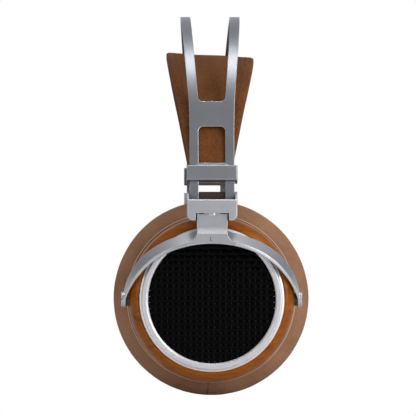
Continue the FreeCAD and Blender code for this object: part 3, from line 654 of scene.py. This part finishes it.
def make_side_marks(materials):
    """A small plain L and R on the yokes' plates."""
    outer_x = box("left_yoke")[1].x
    for label, side in SIDES:
        text = bpy.data.curves.new(label + "_mark", "FONT")
        text.body = label[0].upper()
        text.size = MARK_SIZE
        text.extrude = MARK_PROUD
        text.align_x, text.align_y = "CENTER", "CENTER"
        mark = bpy.data.objects.new(label + "_side_mark", text)
        bpy.context.scene.collection.objects.link(mark)
        mark.location = (side * (outer_x + MARK_GAP), -MARK_SHIFT * side, EAR.z + MARK_HEIGHT)
        mark.rotation_euler = (math.pi / 2, 0, side * math.pi / 2)
        text.materials.append(materials["mark"])
        finish_piece(mark, label + "_yoke", "nylon")


# Strap

STRAP_STATIONS = 170
STRAP_T = 2.3 * MM
LINING_T = 1.2 * MM
STRAP_HALF_W = 11.3 * MM      # inside the clips
STRAP_SPREAD = 0.203          # half width gained for each unit of height above the clips
STRAP_SLOPE = 0.055           # the front edge rides higher than the rear one over the head
STRAP_SAG = 2.0 * MM
STRAP_WAVE = 0.5 * MM         # unevenness of the leather over the head
STRAP_ACROSS = 28             # points from edge to edge
STRAP_EDGE = 0.93             # share of the half width where an edge starts to round off
STRAP_TOP = 0.982             # share of the CAD strap's height that the middle line reaches
STRAP_EASING = 90             # rounds of smoothing, so that the strap bends evenly
STITCH_PITCH = 2.8 * MM
STITCH_INSET = 4.4 * MM
STITCH_START = 16 * MM        # bare leather at each end of a row
STITCH_R = 0.24 * MM
STITCH_DIP = 0.30             # millimetres that a stitch's ends lie lower than its middle


def spline(points, count):
    """Evenly spaced points of a smooth curve through (x, z) points."""
    dense = []
    padded = [points[0] * 2 - points[1]] + points + [points[-1] * 2 - points[-2]]
    for i in range(1, len(padded) - 2):
        p0, p1, p2, p3 = padded[i - 1:i + 3]
        for k in range(24):
            t = k / 24
            dense.append(0.5 * (2 * p1 + (p2 - p0) * t + (2 * p0 - 5 * p1 + 4 * p2 - p3) * t * t
                                + (3 * p1 - p0 - 3 * p2 + p3) * t ** 3))
    dense.append(points[-1])
    lengths = [0.0]
    for a, b in zip(dense, dense[1:]):
        lengths.append(lengths[-1] + (b - a).length)
    result, j = [], 0
    for i in range(count):
        want = lengths[-1] * i / (count - 1)
        while j < len(dense) - 2 and lengths[j + 1] < want:
            j += 1
        share = (want - lengths[j]) / (lengths[j + 1] - lengths[j])
        result.append(dense[j].lerp(dense[j + 1], min(1.0, share)))
    return result, lengths[-1]


def strap_arch():
    """Points of the strap's middle line from the right clip to the left one, and its length."""
    low, high = box("head_strap")
    shares = ((0.987, 0.006), (0.921, 0.236), (0.818, 0.498), (0.620, 0.752), (0.322, 0.934))
    rise = high.z - low.z
    half = [Vector((high.x * sx, 0, low.z + rise * sz)) for sx, sz in shares]
    end = middle("left_strap_end") * 2 - half[0]
    half = [end + (half[0] - end) * 0.08, (end + half[0]) / 2] + half
    top = Vector((0, 0, low.z + rise * STRAP_TOP))
    left = [Vector((-p.x, 0, p.z)) for p in half]
    arch, length = spline(left + [top] + list(reversed(half)), STRAP_STATIONS)
    for _ in range(STRAP_EASING):
        inner = [(a + 2 * b + c) / 4 for a, b, c in zip(arch, arch[1:], arch[2:])]
        arch = arch[:1] + inner + arch[-1:]
    return arch, length


def strap_half_width(z):
    """The strap widens from the clips towards the top of the head."""
    return STRAP_HALF_W + max(0.0, z - box("head_strap")[0].z) * STRAP_SPREAD


def smooth_step(value, low, high):
    """0 below low, 1 above high, and a smooth rise between them."""
    t = max(0.0, min(1.0, (value - low) / (high - low)))
    return t * t * (3 - 2 * t)


def strap_frame(arch, i):
    """Place, outward direction and how far over the head a station of the strap is."""
    after, before = arch[min(i + 1, len(arch) - 1)], arch[max(i - 1, 0)]
    along = (after - before).normalized()
    outward = Vector((-along.z, 0, along.x))
    low, high = box("head_strap")
    over = smooth_step(arch[i].z, low.z + 0.35 * (high.z - low.z), high.z)
    return arch[i], outward, over


def strap_surface(arch, i, y, outside):
    """A point on the strap's outer or inner surface, y across it."""
    place, outward, over = strap_frame(arch, i)
    wave = noise.noise(Vector((place.x * 28, y * 60, 3.1))) * STRAP_WAVE * over
    offset = STRAP_T / 2 if outside else -STRAP_T / 2 - LINING_T * smooth_step(over, 0.0, 0.35)
    point = place + outward * (offset + wave)
    point.y = y
    point.z -= (STRAP_SLOPE * y + STRAP_SAG) * over
    return point


def make_strap_band(arch, materials):
    """The leather band: rounded edges, a little wavy, with a thicker padded middle."""
    verts = []
    for i in range(len(arch)):
        half_w = strap_half_width(arch[i].z)
        for outside in (True, False):
            for k in range(STRAP_ACROSS + 1):
                share = math.sin(math.pi / 2 * (2 * k / STRAP_ACROSS - 1)) * (1 if outside else -1)
                edge = max(0.0, (abs(share) - STRAP_EDGE) / (1 - STRAP_EDGE))
                point = strap_surface(arch, i, share * half_w, outside)
                core = (strap_surface(arch, i, share * half_w, True)
                        + strap_surface(arch, i, share * half_w, False)) / 2
                verts.append(point.lerp(core, 1 - math.sqrt(1 - min(1.0, edge) ** 2 * 0.75)))
    ring = 2 * (STRAP_ACROSS + 1)
    faces = grid_faces(len(arch), ring, False, True)
    faces.append(tuple(range(ring)))
    faces.append(tuple(reversed(range((len(arch) - 1) * ring, len(arch) * ring))))
    piece = new_piece("head_strap_leather", verts, faces, materials["strap_leather"])
    finish_piece(piece, "strap", "strap_leather", "head_strap", "strap_lining",
                 "left_strap_end", "right_strap_end")
    squeeze(piece)


def squeeze(piece):
    """Gives the piece a mesh of its own."""
    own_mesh(piece)


def make_strap_stitches(arch, length, materials):
    """A row of sewn stitches along each edge, on both faces."""
    verts, faces = [], []
    step = length / (len(arch) - 1)
    skip = int(STITCH_START / step)
    stations = (len(arch) - 1 - 2 * skip) * step
    count = int(stations / STITCH_PITCH)
    for n in range(count):
        middle_s = skip * step + (n + 0.5) * STITCH_PITCH
        for side in (-1, 1):
            for outside in (True, False):
                path = []
                for k in range(5):
                    s = (middle_s + (k - 2) * STITCH_PITCH * 0.16) / step
                    i = int(s)
                    y = side * (strap_half_width(arch[i].z) - STITCH_INSET)
                    a = strap_surface(arch, i, y, outside)
                    b = strap_surface(arch, i + 1, y, outside)
                    sink = abs(k - 2) / 2
                    outward = strap_frame(arch, i)[1] * (1 if outside else -1)
                    path.append(a.lerp(b, s - i) + outward * (0.02 - STITCH_DIP * sink ** 2) * MM)
                more, more_faces = tube_along(path, STITCH_R, 6, False)
                first = len(verts)
                verts += more
                faces += [tuple(first + j for j in face) for face in more_faces]
    piece = new_piece("head_strap_stitches", verts, faces, materials["thread"])
    finish_piece(piece, "strap", "strap_leather")
    squeeze(piece)


def make_strap(materials):
    """The strap and its stitches, on one shared middle line."""
    arch, length = strap_arch()
    make_strap_band(arch, materials)
    make_strap_stitches(arch, length, materials)


# Floor, light and camera

def make_stage():
    """A plain pale floor, which the camera sees without a horizon."""
    bpy.ops.mesh.primitive_plane_add(size=8.0)
    floor = bpy.context.object
    floor.name = "floor"
    s = Shader("floor_white")
    seen = s.add("ShaderNodeLightPath").outputs["Is Camera Ray"]
    glow = s.add("ShaderNodeEmission", Color=(1, 1, 1, 1), Strength=1.0)
    mix = s.add("ShaderNodeMixShader", Fac=seen)
    s.set(Base_Color=(0.85, 0.85, 0.86, 1), Roughness=0.7)
    s.tree.links.new(s.surface.outputs[0], mix.inputs[1])
    s.tree.links.new(glow.outputs[0], mix.inputs[2])
    s.tree.links.new(mix.outputs[0], s.tree.nodes["Material Output"].inputs["Surface"])
    floor.data.materials.append(s.material)


def make_world():
    """White to the camera, and in reflections a grey room that is bright behind the object."""
    world = bpy.data.worlds.new("studio")
    bpy.context.scene.world = world
    world.use_nodes = True
    tree = world.node_tree
    place = tree.nodes.new("ShaderNodeTexCoord").outputs["Generated"]
    parts = tree.nodes.new("ShaderNodeSeparateXYZ")
    tree.links.new(place, parts.inputs[0])
    ramp = tree.nodes.new("ShaderNodeValToRGB")
    stops = ramp.color_ramp.elements
    stops[0].position, stops[0].color = 0.0, (0.12, 0.12, 0.12, 1)
    stops[1].position, stops[1].color = 1.0, (0.60, 0.60, 0.62, 1)
    for position, level in ((0.48, 0.12), (0.62, 0.18)):
        stop = stops.new(position)
        stop.color = (level, level, level * 1.03, 1)
    height = tree.nodes.new("ShaderNodeMapRange")
    height.inputs["From Min"].default_value = -1.0
    tree.links.new(parts.outputs["Z"], height.inputs["Value"])
    tree.links.new(height.outputs[0], ramp.inputs[0])
    behind = tree.nodes.new("ShaderNodeMapRange")
    for key, number in (("From Min", -0.55), ("From Max", -0.95), ("To Min", 0.0), ("To Max", 1.0)):
        behind.inputs[key].default_value = number
    tree.links.new(parts.outputs["X"], behind.inputs["Value"])
    backdrop = tree.nodes.new("ShaderNodeMix")
    backdrop.data_type = "RGBA"
    tree.links.new(behind.outputs[0], backdrop.inputs[0])
    tree.links.new(ramp.outputs[0], backdrop.inputs[6])
    backdrop.inputs[7].default_value = (0.9, 0.9, 0.92, 1)
    room = tree.nodes["Background"]
    tree.links.new(backdrop.outputs[2], room.inputs["Color"])
    room.inputs["Strength"].default_value = 1.0
    white = tree.nodes.new("ShaderNodeBackground")
    white.inputs["Color"].default_value = (1, 1, 1, 1)
    seen = tree.nodes.new("ShaderNodeLightPath").outputs["Is Camera Ray"]
    mix = tree.nodes.new("ShaderNodeMixShader")
    tree.links.new(seen, mix.inputs["Fac"])
    tree.links.new(room.outputs[0], mix.inputs[1])
    tree.links.new(white.outputs[0], mix.inputs[2])
    tree.links.new(mix.outputs[0], tree.nodes["World Output"].inputs["Surface"])


def soft_light(name, place, size, power):
    """A rectangular soft box that faces the middle of the object."""
    light = bpy.data.lights.new(name, "AREA")
    light.shape = "RECTANGLE"
    light.size, light.size_y = size
    light.energy = power
    lamp = bpy.data.objects.new(name, light)
    bpy.context.scene.collection.objects.link(lamp)
    lamp.location = place
    aim = Vector((0, 0, 0.1)) - lamp.location
    lamp.rotation_euler = aim.to_track_quat("-Z", "Y").to_euler()


def make_lights():
    """A strong soft box to the right of the camera, a weaker one to the left and one overhead."""
    soft_light("right_box", (1.1, 1.15, 0.65), (0.9, 1.3), 23)
    soft_light("left_box", (1.2, -1.15, 0.35), (0.6, 1.2), 6.5)
    soft_light("top_box", (0.22, 0.0, 1.5), (0.5, 0.5), 6)


VIEW_WIDTH = 219.525 * MM     # what the picture takes in at the near cup's outer face
DISTANCE = 2.2                # metres from the near cup's outer face to the camera
YAW = math.radians(0.8)       # the camera stands a little towards the face
AIM_FORWARD = 2.111 * MM      # the middle of the picture, from the ear axis
AIM_UP = 48.338 * MM
SENSOR = 36.0


def make_camera():
    """Looks level at the left cup's outer side, from far off."""
    near_x = box("left_bezel_ring")[1].x
    data = bpy.data.cameras.new("camera")
    data.sensor_width = SENSOR
    data.lens = SENSOR * DISTANCE / VIEW_WIDTH
    data.clip_end = 20.0
    camera = bpy.data.objects.new("camera", data)
    bpy.context.scene.collection.objects.link(camera)
    target = Vector((near_x, -AIM_FORWARD, EAR.z + AIM_UP))
    camera.location = target + DISTANCE * Vector((math.cos(YAW), -math.sin(YAW), 0))
    camera.rotation_euler = (target - camera.location).to_track_quat("-Z", "Y").to_euler()
    bpy.context.scene.camera = camera
    bpy.context.scene.view_settings.view_transform = "Standard"


materials = make_materials()
paint_frame(materials)
for label, side in SIDES:
    make_grille(label, side, materials)
make_pads(materials)
make_strap(materials)
make_side_marks(materials)
make_stage()
make_world()
make_lights()
make_camera()
